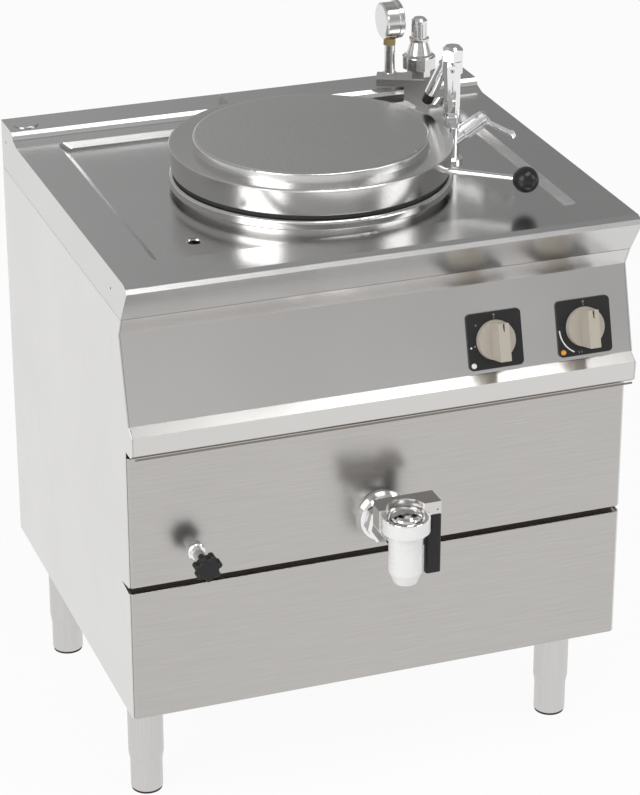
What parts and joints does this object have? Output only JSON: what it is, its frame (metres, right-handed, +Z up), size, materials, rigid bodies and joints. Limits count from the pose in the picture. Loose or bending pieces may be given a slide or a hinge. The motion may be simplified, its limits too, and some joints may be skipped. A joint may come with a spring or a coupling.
{
  "type": "steam jacketed kettle",
  "caption": "Free-standing round steam jacketed kettle in a stainless cabinet on legs, with a hinged lid, water mixer, safety valve, gauge, draw-off tap and level cock",
  "frame": {"origin": "Middle of the bounding box on the floor, under the casing", "axes": "+X to the right seen from the front, +Y to the back, +Z up; the control panel and the tap face -Y"},
  "size_m": [0.8, 0.8124, 1.099],
  "materials": {
    "satin_steel": "satin brushed stainless sheet",
    "panel_steel": "fine-grained stainless sheet, softly reflective",
    "bright_steel": "bright turned stainless",
    "dark_steel": "dark unlit sheet",
    "chrome": "polished chrome plate",
    "brass": "turned brass",
    "black_plastic": "matt black moulded plastic",
    "gloss_black": "glossy black moulded plastic",
    "white_plastic": "smooth white moulded plastic",
    "beige_plastic": "matt beige-grey moulded plastic",
    "dark_bezel": "matt near-black plate",
    "amber_lens": "translucent amber lens",
    "white_lens": "translucent white lens",
    "glass": "clear window glass",
    "seal_rubber": "black silicone seal",
    "mineral_wool": "mineral wool blanket",
    "dial_white": "white painted dial"
  },
  "bodies": {
    "casing": {"worktop": "satin_steel", "upstand_plug": "satin_steel", "left_side_panel": "panel_steel", "right_side_panel": "panel_steel", "back_panel": "panel_steel", "control_fascia": "panel_steel", "upper_front_panel": "panel_steel", "lower_front_panel": "panel_steel", "shadow_strips": "dark_steel", "base_frame": "panel_steel", "leg_sleeves": "panel_steel", "inner_pan": "bright_steel", "steam_jacket": "bright_steel", "insulation": "mineral_wool", "heating_elements": "brass", "steam_pipe": "bright_steel", "worktop_drain": "bright_steel", "mixer_supply_pipes": "chrome", "hinge_bracket": "satin_steel", "hinge_pin": "bright_steel", "safety_console": "panel_steel", "gauge_stem": "bright_steel", "gauge_fitting": "brass", "gauge_case": "bright_steel", "gauge_glass": "glass", "gauge_dial": "dial_white", "safety_valve_body": "chrome", "mixer_column": "chrome", "mixer_valve_caps": "chrome", "tap_flange": "chrome", "tap_body": "chrome", "tap_sleeve": "white_plastic", "level_cock": "chrome", "control_bezels": "dark_bezel", "rotary_switches": "black_plastic", "power_lamp": "white_lens", "heating_lamp": "amber_lens", "terminal_block": "black_plastic", "cable_gland": "black_plastic"},
    "lid": {"lid_shell": "satin_steel", "lid_gasket": "seal_rubber", "lid_handle_bar": "bright_steel", "lid_handle_ball": "gloss_black", "hinge_arm": "satin_steel"},
    "tap_handle": {"tap_plug": "chrome", "tap_lever": "panel_steel", "tap_grip": "black_plastic"},
    "level_handle": {"level_star_knob": "black_plastic"},
    "spout": {"mixer_spout": "chrome", "mixer_spout_tip": "black_plastic"},
    "hot_water_lever": {"hot_lever": "chrome"},
    "cold_water_lever": {"cold_lever": "chrome"},
    "thermostat": {"thermostat_knob": "beige_plastic"},
    "selector": {"selector_knob": "beige_plastic"},
    "needle": {"gauge_needle": "black_plastic"},
    "relief_cap": {"safety_valve_cap": "bright_steel"},
    "front_left_foot": {"foot_front_left": "bright_steel"},
    "front_right_foot": {"foot_front_right": "bright_steel"},
    "rear_left_foot": {"foot_rear_left": "bright_steel"},
    "rear_right_foot": {"foot_rear_right": "bright_steel"}
  },
  "joints": [
    {"name": "lid_hinge", "type": "hinge", "parent": "casing", "child": "lid", "pos_m": [-0.0076, 0.27925, 0.955], "axis": [-1, 0, 0], "range_deg": [0, 95]},
    {"name": "tap_turn", "type": "hinge", "parent": "casing", "child": "tap_handle", "pos_m": [0, -0.36975, 0.479], "axis": [0, 0, -1], "range_deg": [0, 90]},
    {"name": "level_cock_turn", "type": "hinge", "parent": "casing", "child": "level_handle", "pos_m": [-0.296, -0.32975, 0.471], "axis": [0, -1, 0], "range_deg": [0, 270]},
    {"name": "spout_swivel", "type": "hinge", "parent": "casing", "child": "spout", "pos_m": [0.235, 0.04825, 1.077], "axis": [0, 0, 1], "range_deg": [-60, 70]},
    {"name": "hot_lever_turn", "type": "hinge", "parent": "casing", "child": "hot_water_lever", "pos_m": [0.29476, 0.04825, 0.9775], "axis": [0.866, 0, 0.5], "range_deg": [-90, 0]},
    {"name": "cold_lever_turn", "type": "hinge", "parent": "casing", "child": "cold_water_lever", "pos_m": [0.22751, 0.02971, 0.985], "axis": [-0.3746, -0.9272, 0], "range_deg": [-90, 0]},
    {"name": "thermostat_turn", "type": "hinge", "parent": "casing", "child": "thermostat", "pos_m": [0.1765, -0.2748, 0.74471], "axis": [0, -0.9643, 0.265], "range_deg": [-300, 0]},
    {"name": "selector_turn", "type": "hinge", "parent": "casing", "child": "selector", "pos_m": [0.3227, -0.2748, 0.74471], "axis": [0, -0.9643, 0.265], "range_deg": [-90, 90]},
    {"name": "needle_sweep", "type": "hinge", "parent": "casing", "child": "needle", "pos_m": [0.2437, 0.33745, 1.055], "axis": [1, 0, 0], "range_deg": [-270, 0]},
    {"name": "relief_cap_turn", "type": "hinge", "parent": "casing", "child": "relief_cap", "pos_m": [0.28889, 0.32079, 0.997], "axis": [0, 0, 1], "range_deg": [0, 90]},
    {"name": "front_left_foot_screw", "type": "slide", "parent": "casing", "child": "front_left_foot", "axis": [0, 0, -1], "range_m": [-0.02, 0.03]},
    {"name": "front_right_foot_screw", "type": "slide", "parent": "casing", "child": "front_right_foot", "axis": [0, 0, -1], "range_m": [-0.02, 0.03]},
    {"name": "rear_left_foot_screw", "type": "slide", "parent": "casing", "child": "rear_left_foot", "axis": [0, 0, -1], "range_m": [-0.02, 0.03]},
    {"name": "rear_right_foot_screw", "type": "slide", "parent": "casing", "child": "rear_right_foot", "axis": [0, 0, -1], "range_m": [-0.02, 0.03]}
  ]
}
